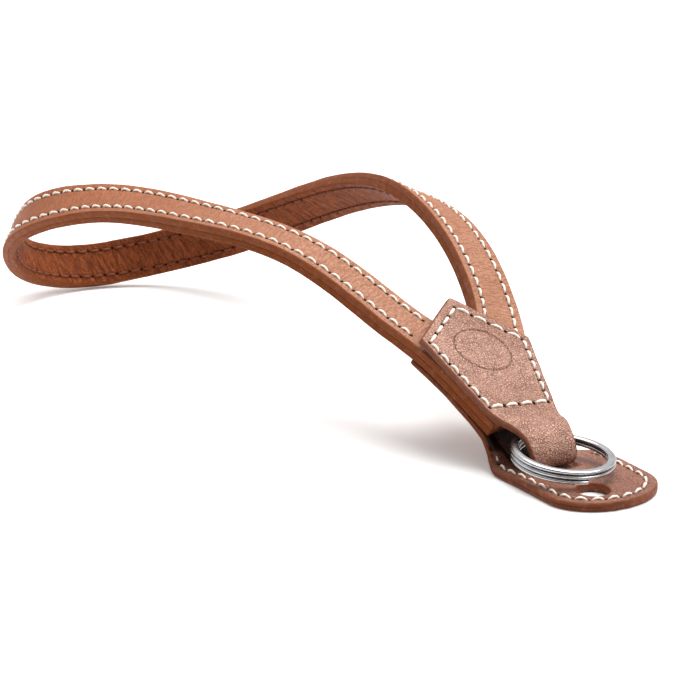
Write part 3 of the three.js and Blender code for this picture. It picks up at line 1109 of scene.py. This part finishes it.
@dataclass
class Band:
    """The stitched band, two leathers thick, that runs round the hand from shoulder to shoulder."""

    place: StrapFrame
    patch: PatchPlane
    half: float = 5.0
    thickness: float = 1.42
    joint: float = 0.01
    middle_depth: float = 2.95
    edge_inset: float = 0.6
    edge_wave: float = 0.05
    stitch_line: float = 3.1
    stitch_sink: float = 0.08
    pitch: float = 3.06
    first_hole: float = 1.4
    step: float = 0.26
    centre_gap: float = 0.1
    pull: Pull = Pull(0.1, 0.42, 0.13, 0.75, 0.3, 0.3)

    LANE_ROWS = (-9.8, -1.8, 7.0, 16.0)
    # x, y and z of the middle of the band from the left shoulder to the right, and its roll.
    ROUTE = (
        (-10.5, 45.5, 20.5, -3.0),
        (-17.5, 64.5, 31.0, 1.0),
        (-28.5, 88.0, 32.5, 10.0),
        (-36.5, 111.0, 33.0, 23.0),
        (-48.5, 131.0, 27.5, 46.0),
        (-45.0, 148.0, 17.0, 68.0),
        (-38.5, 163.0, 8.6, 119.0),
        (-22.5, 168.0, 3.6, 130.0),
        (-5.0, 160.0, 7.5, 96.0),
        (9.5, 140.0, 15.5, 63.0),
        (18.0, 114.0, 28.0, 45.0),
        (18.0, 86.0, 35.0, 27.0),
        (16.5, 61.0, 29.5, 11.0),
        (12.0, 43.0, 17.0, 28.0),
    )

    def lane(self, side: int) -> list[tuple[float, ...]]:
        """Route rows that run up under one side of the patch.

        Args:
            side: -1 for the left and 1 for the right.

        Returns:
            The rows.
        """
        right, along, out = self.patch.axes
        lean = self.patch.lean
        tangent = -side * (along * math.cos(lean) + right * side * math.sin(lean))
        across = np.cross(tangent, out)
        level = unit(np.cross(tangent, UP))
        roll = math.degrees(math.atan2(across @ np.cross(level, tangent), across @ level))
        start = self.patch.seam_half - (self.edge_inset + self.half) / math.cos(lean)
        spots = (
            self.patch.place(side * (start + way * math.tan(lean)), way, self.middle_depth) for way in self.LANE_ROWS
        )
        return [(*spot, roll) for spot in spots]

    def sections(self, low: float, high: float) -> Sections:
        """Cross sections of the leather between two heights above the band's middle.

        Args:
            low: The lower height.
            high: The upper height.

        Returns:
            The sections, from the left end to the right.
        """
        rows = np.array([*self.lane(-1), *self.ROUTE, *self.lane(1)[::-1]])
        spans = len(rows) - 3.0
        t = np.linspace(0.0, spans, 2400)
        at, tangent = spline(rows, t), heading(rows, t)
        level = unit(np.cross(tangent, UP))
        roll = np.radians(at[:, 3])[:, None]
        across = level * np.cos(roll) + np.cross(level, tangent) * np.sin(roll)
        clear = np.abs(self.patch.flat(at[:, :3])[:, 0]) - self.centre_gap
        beside = np.minimum(self.half, clear / math.cos(self.patch.lean))
        inner = np.where(np.minimum(t, spans - t) < 2.0, beside, self.half)
        return Sections(at[:, :3], across, np.cross(across, tangent), self.half, inner, low, high).refined(self.step)

    def hole_distance(self, face: Face) -> Array:
        """The distance from places on a face to the nearest stitch hole."""
        way = (face.along - self.first_hole) / self.pitch
        return np.hypot((way - np.round(way)) * self.pitch, np.abs(face.x) - self.stitch_line)

    def dip(self, face: Face) -> Array:
        """The dip that the stitches draw into a face."""
        return self.pull.dip(np.abs(face.x) - self.stitch_line, self.hole_distance(face))

    def strip(self, name: str, facing: int, outer: Relief, painted_shade_and_line: Relief) -> Object:
        """One of the band's leathers, finer along its rows of stitches and coarse inside the joint.

        Args:
            name: The piece's name.
            facing: 1 for the outer leather and -1 for the inner.
            outer: The relief of its open face.
            painted_shade_and_line: The painted shade in its stitch holes.

        Returns:
            The leather.
        """
        run = self.sections(self.joint, self.joint + self.thickness)
        if facing < 0:
            run.up, run.across, run.left, run.right = -run.up, -run.across, run.right, run.left
        wave = self.edge_wave * facing * lattice_noise(run.along / 3.1, 0 * run.along, 5)
        run.left, run.right = run.left + wave, run.right - wave
        lines = (-self.stitch_line, self.stitch_line)
        leather = Leather(run, Rim.PARALLEL, 0.34, 0.02, 0.015, spacing=0.42, under_spacing=2.0, fine_lines=lines)
        return leather.build(name, self.place, outer, painted_shade_and_line)

    def face(self) -> Object:
        """The outer leather, smooth with faint creases.

        Returns:
            The leather.
        """

        def outer(face: Face) -> Array:
            """Relief of the outer face.

            Args:
                face: Places on the face.

            Returns:
                Their heights.
            """
            pillow = 0.07 * (1.0 - (face.x / self.stitch_line) ** 2).clip(0.0, 1.0)
            return 0.035 * lattice_noise(face.x / 2.2, face.along / 3.5, 3) + pillow - self.dip(face)

        def painted_shade_and_line(face: Face) -> Array:
            """The painted shade in the stitch holes."""
            return smoothstep(0.52, 0.3, self.hole_distance(face))

        return self.strip("band_outer_leather", 1, outer, painted_shade_and_line)

    def lining(self) -> Object:
        """The inner leather, wrinkled across where the loop bends.

        Returns:
            The leather.
        """

        def outer(face: Face) -> Array:
            """Relief of the wrinkled face.

            Args:
                face: Places on the face.

            Returns:
                Their heights.
            """
            way = face.along / face.along[-1, 0]
            bend = 0.35 + bell(way - 0.56, 0.09) + 0.4 * bell(way - 0.42, 0.07)
            warped = face.along + 0.7 * lattice_noise(face.x / 1.8, face.along / 2.5, 11)
            fine = lattice_noise(face.x / 2.6, warped / 0.62, 12)
            coarse = lattice_noise(face.x / 3.5, warped / 1.3, 13)
            ridge = 0.14 * (np.abs(fine) ** 0.7 - 0.5) + 0.2 * (np.abs(coarse) ** 0.7 - 0.5)
            inside = smoothstep(self.stitch_line + 0.1, self.stitch_line - 0.7, np.abs(face.x))
            return ridge * bend * (0.25 + 0.75 * inside) - self.dip(face)

        def painted_shade_and_line(face: Face) -> Array:
            """The painted shade in the stitch holes."""
            return 0.8 * smoothstep(0.45, 0.24, self.hole_distance(face))

        return self.strip("band_inner_leather", -1, outer, painted_shade_and_line)

    def stitches(self, name: str, thread: Thread, side: int, hidden: Callable[[Array], Array]) -> Object:
        """Both rows of stitches of one face.

        Args:
            name: The piece's name.
            thread: The thread's shape.
            side: 1 for the outer face and -1 for the inner.
            hidden: Tells which places lie under another piece, where no stitches are made.

        Returns:
            The stitches.
        """
        rise = self.joint + self.thickness - self.stitch_sink
        run = self.sections(-rise, rise)
        holes = np.arange(self.first_hole, run.along[-1] - 1.0, self.pitch)
        point, across, up = (between(holes, run.along, part) for part in (run.point, run.across, run.up))
        out = side * unit(up)
        rows = [point + unit(across) * reach + out * rise for reach in (-self.stitch_line, self.stitch_line)]
        start, end = (np.concatenate([row[part] for row in rows]) for part in (slice(-1), slice(1, None)))
        normal = np.tile(unit(out[:-1] + out[1:]), (2, 1))
        shown = ~(hidden(start) | hidden(end))
        return thread.build(name, self.place, start[shown], end[shown], normal[shown])


# ---- the patch and its fold ----


@dataclass
class Patch:
    """The house-shaped patch over the band's ends, its tongue folded round the ring, and the return leg."""

    place: StrapFrame
    plane: PatchPlane
    flap: "Flap"
    thickness: float = 1.3
    leg_half: float = 3.9
    leg_thickness: float = 1.0
    # How dark the painted shade on the leg inside the fold is.
    leg_shade: float = 0.62
    gap: float = 0.2
    step: float = 0.26
    fine_step: float = 0.125
    edge_wave: float = 0.09
    thread_sink: float = 0.12
    oval_middle: tuple[float, float] = (-0.2, 13.0)
    oval_half: tuple[float, float] = (5.9, 4.9)
    oval_width: float = 0.19
    oval_depth: float = 0.24
    pull: Pull = Pull(0.12, 0.5, 0.16, 1.1, 0.4, 0.36)

    # across, back, height, half width, thickness and bank of the tongue round the ring's wire.
    FOLD = (
        (0.2, 13.6, 7.8, 5.5, 1.2, 2.0),
        (0.1, 11.3, 6.75, 4.8, 1.2, 1.0),
        (0.0, 9.3, 4.7, 4.6, 1.2, 0.0),
        (0.0, 8.9, 2.9, 4.4, 1.1, 0.0),
        (0.0, 10.0, 1.7, 4.3, 1.0, 0.0),
        (0.0, 11.5, 1.7, 4.2, 1.0, 0.0),
        (0.0, 13.0, 1.7, 4.2, 1.0, 0.0),
    )
    # Corners of the stitching on the patch, across and along, and the stitches up to the next corner.
    STITCH_CORNERS = ((-10.9, 15.1), (-0.2, 23.7), (10.7, 15.4), (7.0, 0.5), (-6.9, -0.2))
    STITCH_COUNTS = (4, 4, 6, 4, 6)

    def sections(self) -> Sections:
        """Cross sections from the patch's peak down, round the fold and back along the leg.

        Returns:
            The sections.
        """
        plane, thick = self.plane, self.thickness
        way = np.linspace(plane.peak_at, 0.0, 60)
        under_peak = plane.peak_at - way
        tip = np.sqrt(np.clip(under_peak / 0.5, 0.0, 1.0))
        half = np.minimum(plane.half_at(way), 0.15 + 1.2 * tip + 2.0 * under_peak)
        across, _, out = plane.axes
        top = Sections(plane.place(0.0, way, thick / 2), across, out, half, half, -thick / 2, thick / 2)
        starts = ((plane.place(0.0, start, thick / 2), plane.seam_half + start * 0.3) for start in (3.0, 0.0, -3.0))
        rows = np.array([*((*spot, reach, thick, plane.bank) for spot, reach in starts), *self.FOLD])
        at, across, out = banked_spline(rows, np.linspace(0.0, len(rows) - 3.0, 120)[1:], math.pi)
        fold = Sections(at[:, :3], across, out, at[:, 3], at[:, 3], -at[:, 4] / 2, at[:, 4] / 2)
        leg = self.flap.above(np.linspace(3.1, 5.9, 30), self.gap, self.leg_half, self.leg_thickness)
        run = Sections.joined(top, fold, leg).refined(self.step, plane.peak_at, self.fine_step)
        wave = self.edge_wave * lattice_noise(run.along / 1.5, 0 * run.along, 23)
        wave = wave * smoothstep(0.5, 3.0, run.left)
        run.left, run.right = run.left + wave, run.right + wave[::-1] * smoothstep(0.5, 3.0, run.right)
        return run

    def stitch_path(self) -> Array:
        """The holes round the patch, across and along.

        Returns:
            A row for each hole, the first again at the end.
        """
        corners = [*self.STITCH_CORNERS, self.STITCH_CORNERS[0]]
        places = np.concatenate([k + np.arange(count) / count for k, count in enumerate(self.STITCH_COUNTS)])
        return between(np.append(places, len(self.STITCH_COUNTS)), np.arange(len(corners)), np.array(corners))

    def leather(self) -> Object:
        """The patch, fold and leg as one leather.

        Returns:
            The leather.
        """
        run, holes, peak = self.sections(), self.stitch_path(), self.plane.peak_at

        def off_oval(face: Face) -> Array:
            """The distance to the pressed oval line.

            Args:
                face: Places on the face.

            Returns:
                A distance for each.
            """
            (across, up_along), (wide, tall) = self.oval_middle, self.oval_half
            oval = np.hypot((face.x - across) / wide, (peak - face.along - up_along) / tall)
            return np.abs(oval - 1.0) * (wide + tall) / 2

        def outer(face: Face) -> Array:
            """Relief of the outer face, pebbled most on the fold.

            Args:
                face: Places on the face.

            Returns:
                Their heights.
            """
            x, along, line = face.x, face.along, off_oval(face)
            dip = self.pull.dip(distance_to_path(x, peak - along, holes), hole_distance(x, peak - along, holes))
            oval = 0.05 * bell(line - 0.45, 0.3) - self.oval_depth * bell(line, self.oval_width)
            pebbled = 0.02 * (1.0 + 1.2 * smoothstep(peak - 1.0, peak + 5.0, along))
            grain = 0.06 * lattice_noise(x / 3.0, along / 3.0, 21) + pebbled * lattice_noise(x / 0.55, along / 0.55, 22)
            return grain * smoothstep(0.0, 0.7, face.inset) + oval - dip

        def painted_shade_and_line(face: Face) -> Array:
            """The mask of painted shade in the stitch holes and on the leg inside the fold, and of the darkened pressed
            oval.

            Args:
                face: Places on the face.

            Returns:
                The mask, from 0 to 1.
            """
            hole = smoothstep(0.52, 0.3, hole_distance(face.x, peak - face.along, holes))
            # Painted shade: the leg under the ring, inside the fold, is darkened.
            leg = self.leg_shade * ((run.up[:, 2] < 0.0) & (run.point[:, 1] > 12.0))[:, None]
            return np.maximum(np.maximum(hole, 0.58 * bell(off_oval(face), self.oval_width)), leg)

        leather = Leather(run, spacing=0.125, under_spacing=0.9)
        return leather.build("patch_and_fold_leather", self.place, outer, painted_shade_and_line)

    def stitches(self, thread: Thread) -> Object:
        """The stitches round the patch.

        Args:
            thread: The thread's shape.

        Returns:
            The stitches.
        """
        across, along = self.stitch_path().T
        spots = self.plane.place(across, along, self.thread_sink)
        out = np.broadcast_to(self.plane.axes[2], spots[:-1].shape)
        return thread.build("patch_stitches", self.place, spots[:-1], spots[1:], out)

    def covers(self, points: Array) -> Array:
        """Which places lie under the patch, with a little to spare."""
        across, along, _ = self.plane.flat(points).T
        return (np.abs(across) < self.plane.half_at(along) + 0.35) & (along < self.plane.peak_at)


# ---- the flap ----


@dataclass
class Flap:
    """The flap that lies under the ring, and its tail that climbs under the band's ends."""

    place: StrapFrame
    plane: PatchPlane
    half: float = 10.4
    tip_depth: float = 8.0
    tip_back: float = -0.3
    offset: float = 2.1
    thickness: float = 1.6
    tail: float = 1.0
    tail_top: float = 5.8
    lining_under: float = 4.4
    hole_middle: tuple[float, float] = (-0.4, -1.9)
    hole_radius: float = 2.8
    channel: tuple[float, float, float] = (4.9, 8.2, 14.2)
    stitch_inset: float = 1.8
    stitches_to: tuple[float, float] = (18.3, 13.0)
    thread_sink: float = 0.1
    pitch: float = 2.7
    step: float = 0.3
    # How dark the painted shade below and behind the ring is.
    behind_ring_shade: float = 0.72
    pull: Pull = Pull(0.1, 0.45, 0.1, 0.8, 0.3, 0.3)

    # across, back, height, left, right, thickness and bank of the underside up to the patch's slope.
    BEND = (
        (0.0, 2.0, 0.0, 8.4, 12.6, 1.6, 0.0),
        (0.0, 6.0, 0.0, 8.4, 12.7, 1.6, 0.0),
        (0.0, 10.0, 0.0, 8.5, 12.7, 1.6, 0.0),
        (0.0, 13.5, 0.0, 8.9, 12.3, 1.2, 0.0),
        (0.0, 15.5, 0.15, 8.5, 11.0, 1.0, 1.0),
        (-0.6, 17.4, 0.95, 7.5, 8.6, 1.0, 7.0),
    )
    # along, half width, depth under the lining and tilt of the tail under the band's ends.
    TAIL = np.array([(7.5, 9.3, 1.4, 0.0), (12.0, 10.7, 0.5, 1.0), (16.1, 11.3, 1.0, 2.0), (25.5, 0.4, 3.3, 2.0)])
    # How far the tail's edges rise to meet the lining, from place up the patch to height.
    EDGE_RISE = np.array([(-6.0, 0.0), (-2.5, 1.15), (7.5, 1.25), (12.0, 0.35), (16.0, 0.3), (25.5, 0.0)])

    def bend(self, t: Array) -> Sections:
        """Sections of the bend, with the underside at their points.

        Args:
            t: Places along the bend.

        Returns:
            The sections.
        """
        depth = self.tail_top + self.tail
        starts = ((self.plane.place(0.0, along, depth), 7.5 + along * 0.16) for along in (-3.0, 1.0, 5.0))
        slope = ((*spot, half, half, self.tail, self.plane.bank) for spot, half in starts)
        at, across, up = banked_spline(np.array([*self.BEND, *slope]), t)
        return Sections(at[:, :3], across, up, at[:, 3], at[:, 4], 0.0, at[:, 5])

    def above(self, t: Array, gap: float, half: float, thickness: float) -> Sections:
        """Sections of a leather that lies on the tail, turned to face down.

        Args:
            t: Places along the bend.
            gap: The gap under the leather.
            half: Half its width.
            thickness: Its thickness.

        Returns:
            The sections.
        """
        run = self.bend(t)
        middle = run.point + run.up * (self.tail + gap + thickness / 2)
        return Sections(middle, run.across, -run.up, half, half, -thickness / 2, thickness / 2)

    def sections(self) -> Sections:
        """Cross sections from the flap's round front to the tail's peak.

        Returns:
            The sections.
        """
        angle = np.radians(np.linspace(1.0, 89.0, 60))
        reach = self.half * np.sin(angle)
        point = np.stack([0.0 * angle, self.tip_back - self.tip_depth * np.cos(angle), 0.0 * angle], axis=1)
        right = np.array([1.0, 0.0, 0.0])
        tip = Sections(point, right, UP, reach - self.offset, reach + self.offset, 0.0, self.thickness)
        across, _, out = self.plane.axes
        along, half, depth, tilt = self.TAIL.T
        lean = np.radians(tilt)[:, None]
        turned, raised = across * np.cos(lean) + out * np.sin(lean), out * np.cos(lean) - across * np.sin(lean)
        spots = self.plane.place(0.0, along, self.lining_under + depth) - raised * self.tail
        slope = Sections(spots, turned, raised, half, half, 0.0, self.tail)
        return Sections.joined(tip, self.bend(np.linspace(0.0, 6.0, 120)), slope).refined(self.step)

    def stitch_path(self, run: Sections) -> Array:
        """The holes along the flap's rim.

        Args:
            run: The flap's sections.

        Returns:
            Their places across and back.
        """
        rims = []
        for side, end in zip((-run.left, run.right), self.stitches_to):
            near = run.point[:, 1] < end
            rims.append(np.stack([(run.point[:, 0] + side)[near], run.point[near, 1]], axis=1))
        rim = np.concatenate([rims[0][::-1], rims[1]])
        way = unit(np.gradient(rim, axis=0))
        inner = rim + np.stack([-way[:, 1], way[:, 0]], axis=1) * self.stitch_inset
        steps = lengths(inner)
        return between(np.linspace(0.0, steps[-1], int(steps[-1] / self.pitch) + 1), steps, inner)

    def edge_rise(self, run: Sections, x: Array, along: Array) -> Array:
        """How far the tail's edges rise beside the tongue's leg, to meet the lining."""
        climbed = np.interp(along, run.along, self.plane.flat(run.point)[:, 1])
        return np.interp(climbed, *self.EDGE_RISE.T) * smoothstep(4.3, 6.2, np.abs(x))

    def leather(self) -> Object:
        """The flap and tail as one leather, with its lug hole cut.

        Returns:
            The leather.
        """
        run = self.sections()
        holes = self.stitch_path(run)
        half, start, end = self.channel

        def back_of(face: Face) -> Array:
            """How far back each place lies."""
            return np.interp(face.along, run.along, run.point[:, 1])

        def outer(face: Face) -> Array:
            """Relief of the outer face, with the channel for the tongue's leg.

            Args:
                face: Places on the face.

            Returns:
                Their heights.
            """
            x, back = face.x, back_of(face)
            within = smoothstep(start - 0.5, start, back) * smoothstep(end + 0.4, end, back)
            deep = (np.interp(face.along, run.along, run.high) - self.tail).clip(0.0, 1.0)
            channel = deep * smoothstep(half, half - 0.4, np.abs(x)) * within
            dip = self.pull.dip(distance_to_path(x, back, holes), hole_distance(x, back, holes))
            soft = 0.03 * lattice_noise(x / 3.0, face.along / 3.0, 31)
            return soft * smoothstep(0.0, 0.8, face.inset) - channel - dip

        def painted_shade_and_line(face: Face) -> Array:
            """The mask of painted shade in the stitch holes, and below and behind the ring where the fold's recess lies
            in shadow.

            Args:
                face: Places on the face.

            Returns:
                The mask, from 0 to 1.
            """
            reach, back = np.abs(face.x), back_of(face)
            # Painted shade: the flap is darkened below and behind the ring, in the recess of the fold.
            below = smoothstep(12.4, 14.2, back) * smoothstep(5.0, 4.0, reach)
            behind = smoothstep(17.2, 18.6, back) * smoothstep(7.2, 6.5, reach)
            hole = smoothstep(0.45, 0.24, hole_distance(face.x, back, holes))
            return np.maximum(hole, self.behind_ring_shade * np.maximum(below, behind))

        def lift(face: Face) -> Array:
            """The rise of the tail's edges."""
            return self.edge_rise(run, face.x, face.along)

        leather = Leather(run, spacing=0.26, seam=0.17)
        return self.cut_hole(leather.build("flap_leather_piece", self.place, outer, painted_shade_and_line, lift))

    def cut_hole(self, made: Object) -> Object:
        """Cuts the lug hole, with a rounded upper lip.

        Args:
            made: The flap.

        Returns:
            The flap with its hole.
        """
        heights = np.array([-1.0, 1.0, 1.3, 1.5, 1.7, 3.0])[:, None]
        radii = self.hole_radius + np.array([0.0, 0.0, 0.03, 0.12, 0.3, 0.3])[:, None]
        turn = np.linspace(0.0, 2 * np.pi, 72, endpoint=False)
        across, back = self.hole_middle
        sides = (across + radii * np.cos(turn), back + radii * np.sin(turn), heights)
        rings = np.stack(np.broadcast_arrays(*sides), axis=-1)
        ones = np.ones(rings.shape[:2])
        masks = {"rim": ones, "under": 0 * ones, "painted_shade_and_line": 0 * ones}
        blank = np.zeros((len(rings), len(turn) + 1, 2))
        cutter = swept_object("hole_cutter", self.place.row(rings), blank, masks)
        modifier = made.modifiers.new("lug_hole", "BOOLEAN")
        modifier.operation, modifier.solver, modifier.object = "DIFFERENCE", "EXACT", cutter
        whole = made.data
        cut = bpy.data.meshes.new_from_object(made.evaluated_get(bpy.context.evaluated_depsgraph_get()))
        made.modifiers.clear()
        made.data = cut
        bpy.data.meshes.remove(whole)
        bpy.data.objects.remove(cutter)
        return made

    def stitches(self, thread: Thread) -> Object:
        """The stitches along the flap's rim, the first of them up the bend.

        Args:
            thread: The thread's shape.

        Returns:
            The stitches.
        """
        run = self.sections()
        across, back = self.stitch_path(run).T
        along = np.interp(back, run.point[:, 1], run.along)
        face = between(along, run.along, run.point + run.up * (run.high - self.thread_sink)[:, None])
        spots = np.stack([across, face[:, 1], face[:, 2] + self.edge_rise(run, across, along)], axis=1)
        out = unit(between(along, run.along, run.up))
        return thread.build("flap_stitches", self.place, spots[:-1], spots[1:], unit(out[:-1] + out[1:]))

    def covers(self, points: Array) -> Array:
        """Which places lie over the tail.

        Args:
            points: Places in the strap's millimetres.

        Returns:
            True for each that does.
        """
        across, along, _ = self.plane.flat(points).T
        places, half = self.TAIL.T[:2]
        return (along < places[-1]) & (np.abs(across) < np.interp(along, places, half) + 0.4)


# ---- the ring ----


@dataclass
class SplitRing:
    """The split ring, one flat wire wound nearly two and a half times, tilted as it hangs in the fold."""

    place: StrapFrame
    middle: tuple[float, float, float] = (0.1, 6.95, 3.4)
    mean_radius: float = 8.05
    half: float = 0.72
    half_thick: float = 0.385
    pitch: float = 0.8
    left_rise: float = 0.3
    back_rise: float = 0.65
    start: float = -97.0
    swept: float = 875.0
    squareness: float = 2.4
    sides: int = 32
    step: float = 2.5
    cut_back: float = 0.4
    cut_size: float = 0.82

    def section(self) -> Array:
        """The wire's rounded section, as distances outwards and up.

        Returns:
            A row for each corner of the section.
        """
        turn = np.linspace(0.0, 2 * np.pi, self.sides, endpoint=False)
        flat = np.stack([np.cos(turn), np.sin(turn)], axis=1)
        return np.sign(flat) * np.abs(flat) ** (2.0 / self.squareness) * (self.half, self.half_thick)

    def coil(self) -> Object:
        """The wound wire with softened cut ends.

        Returns:
            The ring.
        """
        degrees = np.linspace(0.0, self.swept, int(self.swept / self.step) + 1)
        degrees = np.concatenate([[0.0, self.cut_back], degrees[1:-1], [self.swept - self.cut_back, self.swept]])
        angle = np.radians(self.start - degrees)
        outward = np.stack([np.cos(angle), np.sin(angle), 0.0 * angle], axis=1)
        middle = self.middle + outward * self.mean_radius
        middle[:, 2] += self.pitch * degrees / 360 - self.left_rise * outward[:, 0] + self.back_rise * outward[:, 1]
        size = np.ones((len(degrees), 1, 1))
        size[[0, -1]] = self.cut_size
        section = self.section()
        rings = middle[:, None] + (outward[:, None] * section[:, :1] + UP * section[:, 1:]) * size
        around = lengths(np.concatenate([section, section[:1]]))
        way = np.radians(degrees)[:, None] * self.mean_radius
        uvs = np.stack(np.broadcast_arrays(around, way), axis=-1) / UV_SPAN
        return swept_object("split_ring_coil", self.place.row(rings), uvs, {})


# ---- the studio ----


def aimed(made: Object, spot: Array, way: Vector) -> Object:
    """Puts a camera or light at a place, facing along a direction.

    Args:
        made: The camera or light.
        spot: Its place, in metres.
        way: The direction that it faces.

    Returns:
        The same object.
    """
    made.location = spot
    made.rotation_mode = "QUATERNION"
    made.rotation_quaternion = way.to_track_quat("-Z", "Y")
    return made


@dataclass
class Studio:
    """Camera, pale floor and soft lights."""

    place: StrapFrame
    eye: tuple[float, float, float] = (-160.75, -200.45, 102.18)
    view: tuple[float, float, float] = (0.4791, 0.8278, -0.2920)
    lens: float = 85.97
    sensor: float = 36.0
    lit: tuple[float, float, float] = (0.0, 0.0, 0.01)
    floor_half: float = 3.0

    # Name, place in metres, side in metres, power in watts and tint of each square light.
    LIGHTS = (
        ("top_soft_box", (0.45, 0.25, 1.55), 1.4, 34.0, (1.0, 0.985, 0.965)),
        ("front_soft_box", (0.55, -0.62, 0.85), 0.5, 5.0, (1.0, 0.99, 0.98)),
    )

    def camera(self) -> None:
        """Adds the camera."""
        data = bpy.data.cameras.new("camera")
        data.lens, data.sensor_width, data.clip_start = self.lens, self.sensor, 0.01
        eye = self.place.row(np.array(self.eye))
        bpy.context.scene.camera = aimed(placed("camera", data), eye, Vector(self.view))

    def floor(self) -> None:
        """Adds the floor."""
        mesh = bpy.data.meshes.new("floor")
        corners = [(x * self.floor_half, y * self.floor_half, 0) for x, y in ((-1, -1), (1, -1), (1, 1), (-1, 1))]
        mesh.from_pydata(corners, [], [(0, 1, 2, 3)])
        made = placed("floor", mesh)
        looks = {"Base_Color": (0.86, 0.86, 0.86), "Emission_Color": (1.0, 1.0, 1.0), "Emission_Strength": 0.1}
        mesh.materials.append(Surface("pale_floor").dress(**looks, Roughness=0.7, Specular_IOR_Level=0.2))

    def lights(self) -> None:
        """Adds the lights and the pale surroundings, brightest above and behind."""
        for name, spot, size, power, tint in self.LIGHTS:
            data = bpy.data.lights.new(name, "AREA")
            data.shape, data.size, data.energy, data.color = "SQUARE", size, power, tint
            aimed(placed(name, data), spot, Vector(self.lit) - Vector(spot))
        world = bpy.data.worlds.new("pale_room")
        world.use_nodes = True
        tree = Tree(world.node_tree)
        way = tree.add("TexCoord").outputs["Generated"]
        facing = tree.add("VectorMath", {"operation": "DOT_PRODUCT"}, Vector=way)
        facing.inputs[1].default_value = (0.40, 0.55, 0.73)
        glow = tree.ramp(facing.outputs["Value"], -0.25, 0.5, 0.06, 0.95)
        tree.fill(world.node_tree.nodes["Background"], Color=(1.0, 1.0, 1.0), Strength=glow)
        bpy.context.scene.world = world


# ---- putting it together ----


def finish_piece(made: Object, material: Material, body: Body, slot: Slot, *stands_for: str) -> None:
    """Gives a piece its material and body, and hides the CAD nodes that it replaces.

    Args:
        made: The piece.
        material: Its material.
        body: The body that it moves with.
        slot: The record's slot that it takes its finish from; not used.
        *stands_for: The CAD nodes that it replaces.
    """
    made.data.materials.clear()
    made.data.materials.append(material)
    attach(made, body.value)
    if stands_for:
        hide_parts(*stands_for)
    triangles = sum(len(face.vertices) - 2 for face in made.data.polygons)
    LOG.info("%s rides on %s with %d triangles", made.name, body.value, triangles)


def main() -> None:
    """Builds the studio and every piece of the strap."""
    logging.basicConfig(level=logging.INFO, format="%(name)s: %(message)s")
    place, plane = StrapFrame(), PatchPlane()
    studio = Studio(place)
    studio.camera()
    studio.floor()
    studio.lights()
    effects = Effects()
    cream, brown = CREAM_THREAD.material(), BROWN_THREAD.material()

    flap = Flap(place, plane)
    patch = Patch(place, plane, flap)
    band = Band(place, plane)
    inner_thread = Thread(radius=0.3, hump=0.14, sway=0.05)

    finish_piece(band.face(), FACE_FINISH.material(effects), Body.STRAP, Slot.FACE, "band_face")
    finish_piece(band.lining(), LINING_FINISH.material(effects), Body.STRAP, Slot.LINING, "band_lining")
    outer_stitches = band.stitches("band_outer_stitches", Thread(radius=0.25, hump=0.24), 1, patch.covers)
    finish_piece(outer_stitches, cream, Body.STRAP, Slot.FACE)
    inner_stitches = band.stitches("band_inner_stitches", inner_thread, -1, flap.covers)
    finish_piece(inner_stitches, brown, Body.STRAP, Slot.LINING)
    finish_piece(patch.leather(), PATCH_FINISH.material(effects), Body.STRAP, Slot.PATCH, "patch_fold")
    finish_piece(patch.stitches(Thread(radius=0.26)), cream, Body.STRAP, Slot.PATCH)
    finish_piece(flap.leather(), FLAP_FINISH.material(effects), Body.STRAP, Slot.FLAP, "flap")
    finish_piece(flap.stitches(Thread(radius=0.23, hump=0.26)), cream, Body.STRAP, Slot.FLAP)
    finish_piece(SplitRing(place).coil(), SteelFinish().material(), Body.RING, Slot.RING, "split_ring")

    bpy.context.scene.view_settings.view_transform = "Standard"


if __name__ == "__main__":
    main()
